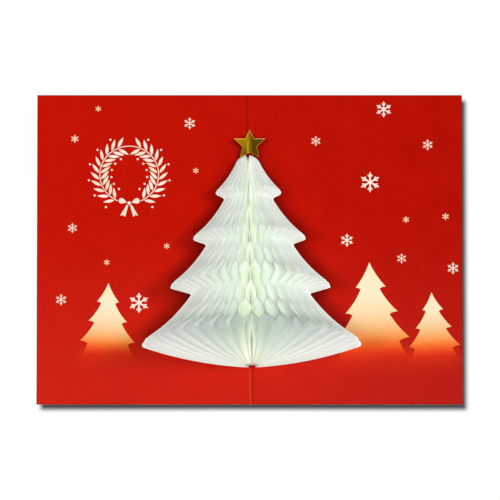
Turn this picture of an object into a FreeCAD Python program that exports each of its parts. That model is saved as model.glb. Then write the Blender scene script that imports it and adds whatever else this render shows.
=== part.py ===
"""Pop-up greeting card: a folded card sheet, a tissue honeycomb fir tree and a folded foil star.

The card lies open and flat on its back. X runs across the card, Y along its fold towards the star,
and Z up out of the card. The origin is the middle of the fold on the card's underside.
"""
import FreeCAD, Part
import itertools
import math
import os
import types

import Sketcher

Vector = FreeCAD.Vector

# name: (millimetres, degrees or a count, what it is)
SIZES = {
    "card_width": (240.0, "open card, across the fold"),
    "card_length": (180.0, "open card, along the fold"),
    "card_thickness": (0.35, "card sheet"),
    "crease_width": (1.6, "valley pressed into the inside along the fold"),
    "crease_depth": (0.14, "depth of that valley"),
    "tree_from_edge": (21.4, "lower card edge to the tree's foot"),
    "leaf_count": (42, "tissue leaves in the honeycomb"),
    "leaf_thickness": (0.15, "one tissue leaf"),
    "core_margin": (0.29, "bonded core beyond the radius where its leaves would fill it"),
    "glue_pitch": (18.7, "middle of one glue strip to the middle of the next, along the fold"),
    "wide_strip": (17.0, "glue strip between an even leaf and the next"),
    "narrow_strip": (7.7, "glue strip between an odd leaf and the next"),
    "foot_strip": (13.15, "glued stretch at the foot of the tree"),
    "hem_rise": (12.6, "foot up to the hem's tip"),
    "hem_radius": (63.2, "hem's tip, out from the fold"),
    "hem_slope": (29.0, "hem's tip up to the notch above it"),
    "tier3_undercut": (11.9, "notch in from the third tier's tip"),
    "tier3_lip": (5.2, "notch up to the third tier's tip"),
    "tier3_radius": (46.0, "third tier's tip, out from the fold"),
    "tier3_slope": (23.9, "third tier's tip up to the notch above it"),
    "tier2_undercut": (8.2, "notch in from the second tier's tip"),
    "tier2_lip": (4.1, "notch up to the second tier's tip"),
    "tier2_radius": (32.6, "second tier's tip, out from the fold"),
    "tier2_slope": (22.8, "second tier's tip up to the notch above it"),
    "tier1_undercut": (5.8, "notch in from the top tier's tip"),
    "tier1_lip": (4.0, "notch up to the top tier's tip"),
    "tier1_radius": (19.3, "top tier's tip, out from the fold"),
    "tier1_slope": (19.0, "top tier's tip up to the shoulder"),
    "shoulder_width": (3.1, "flat top's edge out to the shoulder"),
    "shoulder_rise": (2.2, "shoulder up to the flat top"),
    "top_flat": (0.6, "flat top beyond the core"),
    "slope_bow": (0.036, "how far a slope bows inward, over its length"),
    "foot_bow": (2.0, "how far the foot's curve bows outward"),
    "tip_round": (1.9, "length of edge taken by a rounded tip"),
    "notch_round": (1.0, "length of edge taken by a rounded notch"),
    "star_width": (17.7, "side tip to side tip"),
    "star_height": (16.8, "feet to the top tip"),
    "star_waist": (0.47, "inner corners' radius over the tips' radius"),
    "star_rise": (4.0, "side tips above the star's fold"),
    "star_thickness": (0.3, "foil card"),
    "star_overlap": (1.0, "star's feet below the tree's top, either side of it"),
}
SUB_PARTS = ("card", "honeycomb_tree", "star")
TREE_STEPS = ("hem_rise", "hem_slope", "tier3_lip", "tier3_slope", "tier2_lip", "tier2_slope",
              "tier1_lip", "tier1_slope", "shoulder_rise")
EVEN, ODD = 0, 1
SLOPE_FACETS = 3
FOOT_FACETS = 5
ROUND_FACETS = 2

doc = FreeCAD.newDocument("PopUpCard")


def add_sizes():
    sheet = doc.addObject("Spreadsheet::Sheet", "Sizes")
    for row, (name, (value, note)) in enumerate(SIZES.items(), start=1):
        sheet.set(f"A{row}", name)
        sheet.set(f"B{row}", str(value))
        sheet.set(f"C{row}", note)
        sheet.setAlias(f"B{row}", name)
    doc.recompute()
    return sheet


def add_body(name):
    body = doc.addObject("PartDesign::Body", name)
    body.Label = name
    return body


def add_profile(body, name, role, corners):
    """Closed outline of straight edges on one of the body's origin planes. Each corner is a pair of
    expressions on the sheet, bound as the corner's distances from the origin."""
    sketch = body.newObject("Sketcher::SketchObject", name)
    plane = next(item for item in body.Origin.OriginFeatures if item.Role == role)
    sketch.AttachmentSupport = [(plane, "")]
    sketch.MapMode = "FlatFace"
    values = [[float(doc.getObject("Sizes").evalExpression(text)) for text in corner] for corner in corners]
    points = [Vector(across, along, 0) for across, along in values]
    count = len(points)
    for index in range(count):
        sketch.addGeometry(Part.LineSegment(points[index], points[(index + 1) % count]), False)
    for index in range(count):
        sketch.addConstraint(Sketcher.Constraint("Coincident", index, 2, (index + 1) % count, 1))
    for index, (corner, value) in enumerate(zip(corners, values)):
        for kind, text, number in zip(("DistanceX", "DistanceY"), corner, value):
            place = sketch.addConstraint(Sketcher.Constraint(kind, -1, 1, index, 1, number))
            sketch.setExpression(f"Constraints[{place}]", text)
    return sketch


def add_pad(body, name, sketch, length):
    """Material either side of the sketch's plane, the given length in all."""
    pad = body.newObject("PartDesign::Pad", name)
    pad.Profile = sketch
    pad.SideType = "Symmetric"
    pad.setExpression("Length", length)
    return pad


def add_pocket(body, name, sketch, length):
    """A cut either side of the sketch's plane, the given length in all."""
    pocket = body.newObject("PartDesign::Pocket", name)
    pocket.Profile = sketch
    pocket.SideType = "Symmetric"
    pocket.setExpression("Length", length)
    return pocket


def add_card():
    """The card sheet: its section across the fold, with the pressed crease, drawn out along the fold."""
    body = add_body("card")
    half = "Sizes.card_width / 2"
    lip = "Sizes.crease_width / 2"
    face = "Sizes.card_thickness"
    section = add_profile(body, "card_section", "XZ_Plane", [
        (f"-{half}", "0"), (half, "0"), (half, face), (lip, face),
        ("0", f"{face} - Sizes.crease_depth"), (f"-{lip}", face), (f"-{half}", face),
    ])
    add_pad(body, "card_sheet", section, "Sizes.card_length")


def add_star():
    """The star: five points cut from foil card, folded to a shallow valley that rests in the card's crease."""
    body = add_body("star")
    side_tip = math.cos(math.radians(18))
    feet = math.sin(math.radians(54))
    corners = []
    for step in range(10):
        angle = math.radians(90 + 36 * step)
        ring = "Sizes.star_waist" if step % 2 else "1"
        across = f"Sizes.star_width / 2 * {ring} * {math.cos(angle) / side_tip:.9f}"
        along = f"Sizes.star_height * ({ring} * {math.sin(angle):.9f} + {feet:.9f}) / {1 + feet:.9f}"
        corners.append((across, along))
    outline = add_profile(body, "star_outline", "XY_Plane", corners)
    add_pad(body, "star_blank", outline, "(Sizes.star_rise + Sizes.star_thickness) * 2")

    reach = "Sizes.star_width * 0.75"
    wings = "Sizes.star_rise * 1.5"
    thick = "Sizes.star_thickness"
    deep = "Sizes.star_height * 4"
    above = add_profile(body, "valley_top", "XZ_Plane", [
        (f"-{reach}", f"{wings} + {thick}"), ("0", thick), (reach, f"{wings} + {thick}"),
        (reach, f"{wings} + {thick} * 3"), (f"-{reach}", f"{wings} + {thick} * 3"),
    ])
    add_pocket(body, "cut_above", above, deep)
    below = add_profile(body, "valley_underside", "XZ_Plane", [
        (f"-{reach}", wings), ("0", "0"), (reach, wings),
        (reach, f"-{wings} - {thick} * 2"), (f"-{reach}", f"-{wings} - {thick} * 2"),
    ])
    add_pocket(body, "cut_below", below, deep)
    tree_height = " + ".join(f"Sizes.{step}" for step in TREE_STEPS)
    body.setExpression("Placement.Base.y", f"Sizes.tree_from_edge - Sizes.card_length / 2"
                       f" + {tree_height} - Sizes.star_overlap")
    body.setExpression("Placement.Base.z", "Sizes.card_thickness - Sizes.crease_depth")


def bowed(start, end, bow, facets):
    """Points on an arc from start to end that bows off its chord, to the right of the way it runs."""
    chord = end - start
    side = Vector(chord.y, -chord.x, 0).normalize()
    middle = (start + end) * 0.5 + side * bow
    return Part.Arc(start, middle, end).toShape().discretize(facets + 1)


def round_corner(before, corner, after, reach):
    """Points on the curve that rounds a corner, starting and ending at reach from it."""
    curve = Part.BezierCurve()
    curve.setPoles([corner + (before - corner).normalize() * reach, corner,
                    corner + (after - corner).normalize() * reach])
    return curve.toShape().discretize(ROUND_FACETS + 1)


def half_tree(size, core_radius):
    """The half tree's edge as points (radius, height), from the core at the foot to the core at the top."""
    top_radius = core_radius + size.top_flat
    radii = [size.hem_radius,
             size.tier3_radius - size.tier3_undercut, size.tier3_radius,
             size.tier2_radius - size.tier2_undercut, size.tier2_radius,
             size.tier1_radius - size.tier1_undercut, size.tier1_radius,
             top_radius + size.shoulder_width, top_radius]
    heights = itertools.accumulate(getattr(size, step) for step in TREE_STEPS)
    turns = [Vector(radius, height) for radius, height in zip(radii, heights)]
    foot = bowed(Vector(0, 0), turns[0], size.foot_bow, FOOT_FACETS)
    corners = [(point, 0) for point in foot[:-1]]
    for tip, notch in zip(turns[0:8:2], turns[1:8:2]):
        slope = bowed(notch, tip, size.slope_bow * tip.distanceToPoint(notch), SLOPE_FACETS)
        corners.append((tip, size.tip_round))
        corners += [(point, 0) for point in reversed(slope[1:-1])]
        corners.append((notch, size.notch_round))
    corners.append((turns[-1], 0))

    edge = []
    for (before, _), (corner, reach), (after, _) in zip(corners, corners[1:], corners[2:]):
        edge += round_corner(before, corner, after, reach) if reach else [corner]
    first = edge[0] * (core_radius / edge[0].x)
    return [first] + edge + [turns[-1], Vector(core_radius, turns[-1].y)]


def glue_regions(size, foot, top):
    """Stretches up the fold as (low, high, kind at low, kind at high). The kinds are equal along a glue
    strip, and differ where the leaves cross from one kind of strip to the other."""
    crossing = size.glue_pitch - (size.wide_strip + size.narrow_strip) / 2
    strip = {EVEN: size.wide_strip, ODD: size.narrow_strip}
    regions = []
    low, high, kind = foot, size.foot_strip, ODD
    while high + crossing < top:
        regions.append((low, high, kind, kind))
        kind = 1 - kind
        regions.append((high, high + crossing, 1 - kind, kind))
        low = high + crossing
        high = low + strip[kind]
    regions.append((low, top, kind, kind))
    return regions


def split_at(edge, heights):
    """The same edge with a point added at each height."""
    points = edge[:1]
    for start, end in zip(edge, edge[1:]):
        for height in heights:
            if start.y < height < end.y:
                along = (height - start.y) / (end.y - start.y)
                points.append(Vector(start.x + (end.x - start.x) * along, height))
        points.append(end)
    return points


def flat_face(points):
    """A face between the points, which may repeat where a side has shrunk to nothing."""
    corners = [point for index, point in enumerate(points) if not point.isEqual(points[index - 1], 1e-7)]
    return Part.Face(Part.makePolygon(corners + corners[:1]))


def add_honeycomb(size):
    """The tissue honeycomb. Every leaf is half a tree standing on the fold line. Neighbours share a plane
    through that line where they are glued: leaf n meets the next leaf on plane n and the one before on
    plane n - 1. Even planes are glued in the wide strips and odd planes in the narrow ones, and between
    strips a leaf crosses from one of its planes to the other, which opens the cells. The first and last
    leaves lie flat on the card. The bonded edges of all leaves make the solid core on the fold line."""
    leaves = int(size.leaf_count)
    turn = math.pi / (leaves - 2)
    core_radius = size.leaf_thickness / turn + size.core_margin
    edge = half_tree(size, core_radius)
    regions = glue_regions(size, edge[0].y, edge[-1].y)
    edge = split_at(edge, [region[0] for region in regions[1:]])

    def share(leaf, kind):
        """0 where a leaf is glued on the plane after it, 1 where it is on the plane before it."""
        if leaf in (0, leaves - 1):
            return leaf / (leaves - 1)
        return 0.0 if leaf % 2 == kind else 1.0

    def place(leaf, upper, part, radius, height):
        """A point on a leaf's lower (0) or upper (1) side, at its share of the way between its planes."""
        angle = (leaf - part) * turn
        offset = size.leaf_thickness * (part - 1 + upper)
        return Vector(radius * math.cos(angle) - offset * math.sin(angle), height,
                      size.leaf_thickness + radius * math.sin(angle) + offset * math.cos(angle))

    def side(leaf, upper, region):
        """A leaf's outline points on one side over one region, and its two core points."""
        low, high, kind_low, kind_high = region
        start, end = share(leaf, kind_low), share(leaf, kind_high)
        rim = [place(leaf, upper, start + (end - start) * (point.y - low) / (high - low), point.x, point.y)
               for point in edge if low <= point.y <= high]
        core = [place(leaf, upper, start, core_radius, low), place(leaf, upper, end, core_radius, high)]
        return rim, core, start == end

    def side_faces(rim, core, flat):
        if flat:
            return [flat_face(core[:1] + rim + core[1:])]
        fan = rim + core[1:]
        return [flat_face([core[0], fan[step], fan[step + 1]]) for step in range(len(fan) - 1)]

    faces = []
    for region in regions:
        lower = [side(leaf, 0, region) for leaf in range(leaves)]
        upper = [side(leaf, 1, region) for leaf in range(leaves)]
        for leaf in range(leaves):
            below, above = lower[leaf][0], upper[leaf][0]
            for step in range(len(below) - 1):
                strip = [below[step], below[step + 1], above[step + 1], above[step]]
                if lower[leaf][2]:
                    faces.append(flat_face(strip))
                else:
                    faces += [flat_face(strip[:3]), flat_face(strip[2:] + strip[:1])]
        for leaf in range(leaves - 1):
            glued = upper[leaf][1][0].isEqual(lower[leaf + 1][1][0], 1e-7) \
                and upper[leaf][1][1].isEqual(lower[leaf + 1][1][1], 1e-7)
            if not glued:
                faces += side_faces(*upper[leaf]) + side_faces(*lower[leaf + 1])
                faces.append(flat_face(upper[leaf][1] + lower[leaf + 1][1][::-1]))

    for height, kind in ((edge[0].y, regions[0][2]), (edge[-1].y, regions[-1][3])):
        faces.append(flat_face([place(leaf, upper, share(leaf, kind), core_radius, height)
                                for leaf in range(leaves) for upper in (0, 1)]))
    faces.append(flat_face([Vector(point.x, point.y, 0) for point in edge]
                           + [Vector(-point.x, point.y, 0) for point in reversed(edge)]))
    shell = Part.Shell(faces)
    solid = Part.Solid(shell)
    if solid.Volume < 0:
        solid.reverse()
    tree = doc.addObject("Part::Feature", "honeycomb_tree")
    tree.Label = "honeycomb_tree"
    tree.Shape = solid
    tree.Placement.Base = Vector(0, size.tree_from_edge - size.card_length / 2, size.card_thickness)


def check_document():
    """Stops if any object failed or any sub-part has no sound solid."""
    for item in doc.Objects:
        if "Invalid" in item.State or "Error" in item.State:
            raise RuntimeError(f"{item.Name} failed: {item.State}")
    for name in SUB_PARTS:
        shape = doc.getObject(name).Shape
        if shape.isNull() or not shape.isValid() or len(shape.Solids) != 1:
            raise RuntimeError(f"{name} has no sound solid")


def main():
    sheet = add_sizes()
    size = types.SimpleNamespace(**{name: float(sheet.get(name)) for name in SIZES})
    add_card()
    add_star()
    add_honeycomb(size)
    doc.recompute()
    check_document()
    os.makedirs("parts", exist_ok=True)
    for name in SUB_PARTS:
        item = doc.getObject(name)
        item.Shape.exportStep(os.path.join("parts", f"{item.Label}.step"))
        print(item.Label, round(item.Shape.Volume, 1), "mm3", item.Shape.BoundBox)


main()
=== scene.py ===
import math
from functools import partialmethod

import bmesh
import bpy
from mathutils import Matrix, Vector


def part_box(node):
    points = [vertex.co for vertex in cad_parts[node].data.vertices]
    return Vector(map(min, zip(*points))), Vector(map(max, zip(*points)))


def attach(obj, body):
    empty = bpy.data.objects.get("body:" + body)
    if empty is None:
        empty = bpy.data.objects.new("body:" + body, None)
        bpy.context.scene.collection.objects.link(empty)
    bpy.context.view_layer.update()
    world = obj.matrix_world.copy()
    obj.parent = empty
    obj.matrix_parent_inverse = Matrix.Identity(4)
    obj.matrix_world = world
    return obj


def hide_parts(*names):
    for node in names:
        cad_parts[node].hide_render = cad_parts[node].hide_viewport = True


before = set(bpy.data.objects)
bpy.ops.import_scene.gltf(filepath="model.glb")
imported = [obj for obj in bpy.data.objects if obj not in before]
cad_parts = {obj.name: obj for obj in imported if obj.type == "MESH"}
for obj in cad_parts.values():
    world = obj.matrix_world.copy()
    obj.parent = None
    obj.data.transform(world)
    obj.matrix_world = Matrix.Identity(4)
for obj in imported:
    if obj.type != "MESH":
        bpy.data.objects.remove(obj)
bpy.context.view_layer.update()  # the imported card, tissue tree and star, in metres
mm = 0.001
cardLow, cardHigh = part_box("card")
starLow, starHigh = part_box("star")
cardTop = cardHigh[2]
cardBottomEdge = cardLow[1]
printBase = cardTop - 0.01 * mm  # printed films start a hair inside the sheet
foldDrift = 0.020  # how far the fold and the tree on it run sideways, over their length
black = (0.0, 0.0, 0.0, 1.0)
white = (1.0, 1.0, 1.0, 1.0)


class Socket:  # a node's output; an expression on it adds the Math nodes
    def __init__(self, graph, output):
        self.graph = graph
        self.output = output

    def math(self, operation, *others):
        return self.graph.node("ShaderNodeMath", {"operation": operation},
                               dict(enumerate((self, *others))))

    def swapped(self, operation, other):  # for a plain number that stands before the sign
        return self.graph.node("ShaderNodeMath", {"operation": operation}, {0: other, 1: self})

    __add__, __radd__ = partialmethod(math, "ADD"), partialmethod(swapped, "ADD")
    __sub__, __rsub__ = partialmethod(math, "SUBTRACT"), partialmethod(swapped, "SUBTRACT")
    __mul__ = partialmethod(math, "MULTIPLY")
    __truediv__, __rtruediv__ = partialmethod(math, "DIVIDE"), partialmethod(swapped, "DIVIDE")
    __pow__ = partialmethod(math, "POWER")
    __mod__ = partialmethod(math, "FLOORED_MODULO")
    __gt__ = partialmethod(math, "GREATER_THAN")
    __lt__ = partialmethod(math, "LESS_THAN")
    __abs__ = partialmethod(math, "ABSOLUTE")
    least = partialmethod(math, "MINIMUM")
    most = partialmethod(math, "MAXIMUM")
    sine = partialmethod(math, "SINE")
    cosine = partialmethod(math, "COSINE")

    def bell(self, middle, width):  # 1 at the middle, falling smoothly to 0 over about two widths
        offset = (self - middle) / width
        return (offset * offset * -1.0).math("EXPONENT")

    def ramp(self, low, high, kind="SMOOTHSTEP"):  # 0 below low, 1 above high
        return self.graph.node("ShaderNodeMapRange", {"interpolation_type": kind},
                               {"Value": self, "From Min": low, "From Max": high})

    def another(self, name):  # another output of the same node
        return Socket(self.graph, self.output.node.outputs[name])


class Graph:  # a shader or geometry node tree being written
    def __init__(self, tree):
        self.tree = tree

    def node(self, kind, settings=None, values=None, output=0):
        made = self.tree.nodes.new(kind)
        for name, setting in (settings or {}).items():
            if name == "stops":
                self.setStops(made.color_ramp, setting)
            else:
                setattr(made, name, setting)
        for name, value in (values or {}).items():
            self.feed(made.inputs[name], value)
        return Socket(self, made.outputs[output])

    def feed(self, entry, value):  # a link where the value varies, a plain number where it doesn't
        if isinstance(value, Socket):
            self.tree.links.new(value.output, entry)
        else:
            entry.default_value = value

    def setStops(self, colourRamp, stops):
        while len(colourRamp.elements) < len(stops):
            colourRamp.elements.new(1.0)
        for element, (place, shade) in zip(colourRamp.elements, stops):
            element.position = place
            element.color = shade

    def mixColour(self, factor, first, second):
        return self.node("ShaderNodeMix", {"data_type": "RGBA"},
                         {0: factor, 6: first, 7: second}, output=2)

    def layered(self, base, layers):  # each share and colour laid over what is under it
        for share, colour in layers:
            base = self.mixColour(share, base, colour)
        return base

    def vector(self, x, y, z):
        return self.node("ShaderNodeCombineXYZ", None, {"X": x, "Y": y, "Z": z})

    def noise(self, place, scale, detail=2.0, roughness=0.5):
        return self.node("ShaderNodeTexNoise", None,
                         {"Vector": place, "Scale": scale, "Detail": detail, "Roughness": roughness})

    def stretched(self, place, scale):  # draws a pattern out where the scale is under 1
        return self.node("ShaderNodeMapping", None, {"Vector": place, "Scale": scale})

    def bump(self, height, strength, depth):
        return self.node("ShaderNodeBump", None,
                         {"Height": height, "Strength": strength, "Distance": depth})

    def attribute(self, name):
        return self.node("ShaderNodeAttribute", {"attribute_name": name}, output="Fac")

    def seenRay(self):  # 1 for what the camera sees, itself or in metal or through glass
        camera = self.node("ShaderNodeLightPath", output="Is Camera Ray")
        return camera.most(camera.another("Is Glossy Ray")).most(camera.another("Is Transmission Ray"))

    def apart(self, vector):  # its x, y and z
        x = self.node("ShaderNodeSeparateXYZ", None, {"Vector": vector})
        return x, x.another("Y"), x.another("Z")

    def place(self):  # a point of the surface in the shared frame, whole and as x, y and z
        spot = self.node("ShaderNodeTexCoord", output="Object")
        return spot, *self.apart(spot)


def paint(red, green, blue):  # a colour as read from a swatch, 0 to 255, made linear
    def linear(value):
        share = value / 255
        return share / 12.92 if share <= 0.04045 else ((share + 0.055) / 1.055) ** 2.4
    return (linear(red), linear(green), linear(blue), 1.0)


def newFinish(name):
    material = bpy.data.materials.new(name)
    material.use_nodes = True
    graph = Graph(material.node_tree)
    surface = material.node_tree.nodes["Principled BSDF"]
    return material, graph, surface


def dress(graph, surface, values):
    for name, value in values.items():
        graph.feed(surface.inputs[name], value)


def mixShaders(graph, end, share, first, second):
    both = graph.node("ShaderNodeMixShader", None,
                      {0: share, 1: Socket(graph, first.outputs[0]), 2: second})
    graph.feed(graph.tree.nodes[end].inputs["Surface"], both)


def newPiece(name, mesh, materials):
    piece = bpy.data.objects.new(name, mesh)
    bpy.context.scene.collection.objects.link(piece)
    for material in materials:
        mesh.materials.append(material)
    return piece


def meshFrom(name, shape, turnOut=True):
    mesh = bpy.data.meshes.new(name)
    if turnOut:
        bmesh.ops.recalc_face_normals(shape, faces=shape.faces)
    shape.to_mesh(mesh)
    shape.free()
    return mesh


def joinRings(shape, first, second, closed=True):  # the wall between two rings of points
    count = len(first)
    made = []
    for step in range(count if closed else count - 1):
        after = (step + 1) % count
        made.append(shape.faces.new((first[step], first[after], second[after], second[step])))
    return made


def addPrint(shape, outline, low, high):  # a flat film with the given outline, closed all round
    rings = [[shape.verts.new((x, y, z)) for x, y in outline] for z in (low, high)]
    joinRings(shape, *rings)
    caps = [shape.faces.new(rings[0][::-1]), shape.faces.new(rings[1])]
    for cap in caps:
        cap.normal_update()
    bmesh.ops.triangulate(shape, faces=caps)
    return rings[0] + rings[1]


def circle(steps):
    turns = [math.tau * step / steps for step in range(steps)]
    return [(math.cos(turn), math.sin(turn)) for turn in turns]


def settleShape(piece):  # the piece with its modifiers worked out, as a plain mesh
    bpy.context.view_layer.update()
    graph = bpy.context.evaluated_depsgraph_get()
    settled = bpy.data.meshes.new_from_object(piece.evaluated_get(graph), depsgraph=graph)
    settled.name = piece.data.name
    piece.modifiers.clear()
    piece.data = settled


def geometryTree(name, values, wanted):  # a tree, with an input named after each wanted value
    tree = bpy.data.node_groups.new(name, "GeometryNodeTree")
    for way in ("INPUT", "OUTPUT"):
        tree.interface.new_socket(name="Shape", in_out=way, socket_type="NodeSocketGeometry")
    kinds = {int: "NodeSocketInt", float: "NodeSocketFloat"}
    labels, entries = {}, {}
    for key in wanted:
        labels[key] = "".join(" " + sign if sign.isupper() else sign for sign in key).title()
        entry = tree.interface.new_socket(name=labels[key], in_out="INPUT",
                                          socket_type=kinds[type(values[key])])
        entries[entry.identifier] = values[key]
    graph = Graph(tree)
    given = graph.node("NodeGroupInput")
    return graph, given, {key: given.another(label) for key, label in labels.items()}, entries


def applyTree(piece, graph, result, entries, material):
    solid = graph.node("GeometryNodeRealizeInstances", None, {"Geometry": result})
    done = graph.node("GeometryNodeSetMaterial", None, {"Geometry": solid, "Material": material})
    end = graph.tree.nodes.new("NodeGroupOutput")
    graph.feed(end.inputs[0], done)
    modifier = piece.modifiers.new(graph.tree.name, "NODES")
    modifier.node_group = graph.tree
    for identifier, value in entries.items():
        modifier[identifier] = value
    settleShape(piece)


def named(graph, name):
    return graph.node("GeometryNodeInputNamedAttribute", {"data_type": "FLOAT"}, {"Name": name})


def stored(graph, shape, name, value, domain="POINT"):  # keeps a value on the shape under a name
    return graph.node("GeometryNodeStoreNamedAttribute", {"data_type": "FLOAT", "domain": domain},
                      {"Geometry": shape, "Name": name, "Value": value})


def addTo(result, shape):
    result.graph.tree.links.new(shape.output, result.output.node.inputs[0])


def kept(graph, shape, wanted):
    return graph.node("GeometryNodeSeparateGeometry", {"domain": "POINT"},
                      {"Geometry": shape, "Selection": wanted})


# the camera
view = {
    "lean": math.radians(14.07),  # from straight above, towards the lower edge
    "lens": 1200.0,
    "sensor": 36.0,
    "farthest": 30.0,
    "frameWidth": 0.2821,  # width of the card's plane that fills the view
    "target": (0.0002, -0.0002, 0.0),
}


def addCamera():
    data = bpy.data.cameras.new("viewCamera")
    data.lens = view["lens"]
    data.sensor_width = view["sensor"]
    data.clip_end = view["farthest"]
    camera = bpy.data.objects.new("viewCamera", data)
    distance = view["frameWidth"] * view["lens"] / view["sensor"]
    away = Vector((0.0, -math.sin(view["lean"]), math.cos(view["lean"])))
    camera.location = Vector(view["target"]) + away * distance
    camera.rotation_euler = (view["lean"], 0.0, 0.0)
    bpy.context.scene.collection.objects.link(camera)
    bpy.context.scene.camera = camera
    bpy.context.scene.view_settings.view_transform = "Standard"


# the lamps and the sky
light = {
    "world": 0.20,
    "lamps": {  # azimuth, elevation, share of the light on a flat card, spread
        "frontLight": (-90, 68, 0.24, 30),
        "rightLight": (8, 46, 0.33, 14),
        "leftLight": (184, 52, 0.22, 14),
    },
    "bounces": 24,  # light goes on from leaf to leaf inside the cells
}


def addSun(name, azimuth, elevation, share, spread):
    azimuth, elevation = math.radians(azimuth), math.radians(elevation)
    data = bpy.data.lights.new(name, "SUN")
    data.energy = math.pi * share / math.sin(elevation)
    data.angle = math.radians(spread)
    lamp = bpy.data.objects.new(name, data)
    towards = Vector((math.cos(elevation) * math.cos(azimuth),
                      math.cos(elevation) * math.sin(azimuth), math.sin(elevation)))
    lamp.rotation_euler = towards.to_track_quat("Z", "Y").to_euler()
    bpy.context.scene.collection.objects.link(lamp)


def addLight():
    world = bpy.data.worlds.new("studio")
    bpy.context.scene.world = world
    world.use_nodes = True
    graph = Graph(world.node_tree)
    soft = world.node_tree.nodes["Background"]
    dress(graph, soft, {"Color": white, "Strength": light["world"]})
    plain = graph.node("ShaderNodeBackground", None, {"Color": white, "Strength": 1.0})
    mixShaders(graph, "World Output", graph.seenRay(), soft, plain)
    for name, (azimuth, elevation, share, spread) in light["lamps"].items():
        addSun(name, azimuth, elevation, share, spread)
    cycles = bpy.context.scene.cycles
    cycles.max_bounces = cycles.diffuse_bounces = cycles.transmission_bounces = light["bounces"]


# the floor
floor = {
    "half": 12.0,
    "colour": (0.88, 0.88, 0.88, 1.0),
    "roughness": 0.9,
    "shadowRight": 2.2 * mm,  # painted soft shadow to the right of the card and below it
    "shadowBelow": 3.05 * mm,
    "shadowSoft": 4.3 * mm,
    "shadowDepth": 0.93,
    "lift": 0.14,  # light of the floor's own that makes it pure white
}


def within(place, low, high, soft):  # 1 from low to high, with soft ends
    return place.ramp(low - soft, low + soft) * (1 - place.ramp(high - soft, high + soft))


def floorFinish():
    material, graph, surface = newFinish("studioFloor")
    _, x, y, _ = graph.place()
    soft = floor["shadowSoft"] / 2
    right, below = floor["shadowRight"], floor["shadowBelow"]
    # painted shadow: the floor is darker to the right of the card and below it
    inX = within(x, cardLow[0] + right, cardHigh[0] + right, soft)
    inY = within(y, cardLow[1] - below, cardHigh[1] - below, soft)
    shade = inX * inY * floor["shadowDepth"]
    lifted = (1 - shade) * graph.seenRay()
    dress(graph, surface, {
        "Base Color": graph.mixColour(shade, floor["colour"], black), "Roughness": floor["roughness"],
        "Specular IOR Level": 0.0, "Emission Color": graph.mixColour(lifted, black, white),
        "Emission Strength": floor["lift"]})
    return material


def addFloor():
    shape = bmesh.new()
    half = floor["half"]
    corners = ((-half, -half), (half, -half), (half, half), (-half, half))
    shape.faces.new([shape.verts.new((x, y, 0.0)) for x, y in corners])
    mesh = meshFrom("studioFloor", shape)
    newPiece("studioFloor", mesh, [floorFinish()])


# the card sheet
card = {
    "creaseReach": 2.0 * mm,  # the sheet is shaped this far out from the fold
    "creaseSteps": 32,
    "creaseDepth": 0.14 * mm,
    "valleyWidth": 0.4 * mm,
    "lipHeight": 0.03 * mm,  # paper pushed up beside the crease
    "lipOut": 0.92 * mm,
    "lipWidth": 0.28 * mm,
    "rimRound": 0.06 * mm,
    "rimAngle": math.radians(60),  # edges sharper than this are rounded
    "printFacing": 0.6,  # faces that look up less than this are bare board
    # painted light: the red is lighter on the left than on the right; the lower red is a warmer
    # printed fade
    "upperLeft": paint(197, 16, 0),
    "upperRight": paint(182, 12, 0),
    "lowerLeft": paint(209, 34, 18),
    "lowerRight": paint(186, 28, 18),
    "fadeHeight": 120 * mm,  # from the lower red to the upper one
    "glow": paint(232, 62, 26),  # warmer red round the foot of each fir, also the painted highlight beside the crease
    "glowReach": (19 * mm, 6 * mm),  # at scale 1
    "glowAside": 1.5,  # mm right of the apex
    "glowDrop": 0.93,  # down the fir, over its height
    "glowShare": 0.35,
    "grain": (0.22, 1.0, 1.0),
    "grainNoise": (900.0, 4.0, 0.65),  # scale, detail and roughness
    "cloudScale": 60.0,
    "fibreShare": 0.5,
    "cloudShare": 0.35,
    "wornLight": paint(232, 56, 24),
    "wornDark": paint(120, 8, 4),
    "wornShares": (0.5, 0.75),  # how strongly the light and the dark spots show
    "contactShadeTone": paint(60, 2, 0),  # painted shade: deeper red close under the tissue
    "contactReach": 14 * mm,
    "contactSamples": 8,
    "contactShade": 1.25,
    "contactRise": (25 * mm, 46 * mm),  # above the lower edge: where it starts, where it is full
    "foldShade": paint(120, 6, 2),
    "foldShadeLine": (0.15 * mm, 0.7 * mm),  # painted shade along the crease: place beside it, and width
    # painted highlight beside the crease, towards the lower edge: place and width
    "foldHighlightLine": (-1.3 * mm, 0.6 * mm),
    "foldShares": (0.35, 0.5),
    "rim": paint(96, 6, 2),  # painted shade: the darker line along the cut edges
    "rimShadeWidth": 0.9 * mm,
    "rimShadeShare": 0.5,
    "gloss": 0.03,  # printed paper hardly shines
    "roughness": 0.52,
    "roughnessGrain": 0.12,
    "relief": (0.10, 0.05 * mm),  # the bump's strength and depth
    "boardDark": paint(236, 230, 220),
    "boardLight": paint(250, 247, 241),
    "boardNoise": (2600.0, 4.0, 0.7),
    "boardRoughness": 0.8,
    "boardRelief": (0.2, 0.03 * mm),
}


def creaseHeight(x):
    valley = card["creaseDepth"] * math.exp(-(x / card["valleyWidth"]) ** 2)
    lip = card["lipHeight"] * math.exp(-((abs(x) - card["lipOut"]) / card["lipWidth"]) ** 2)
    return lip - valley


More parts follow.
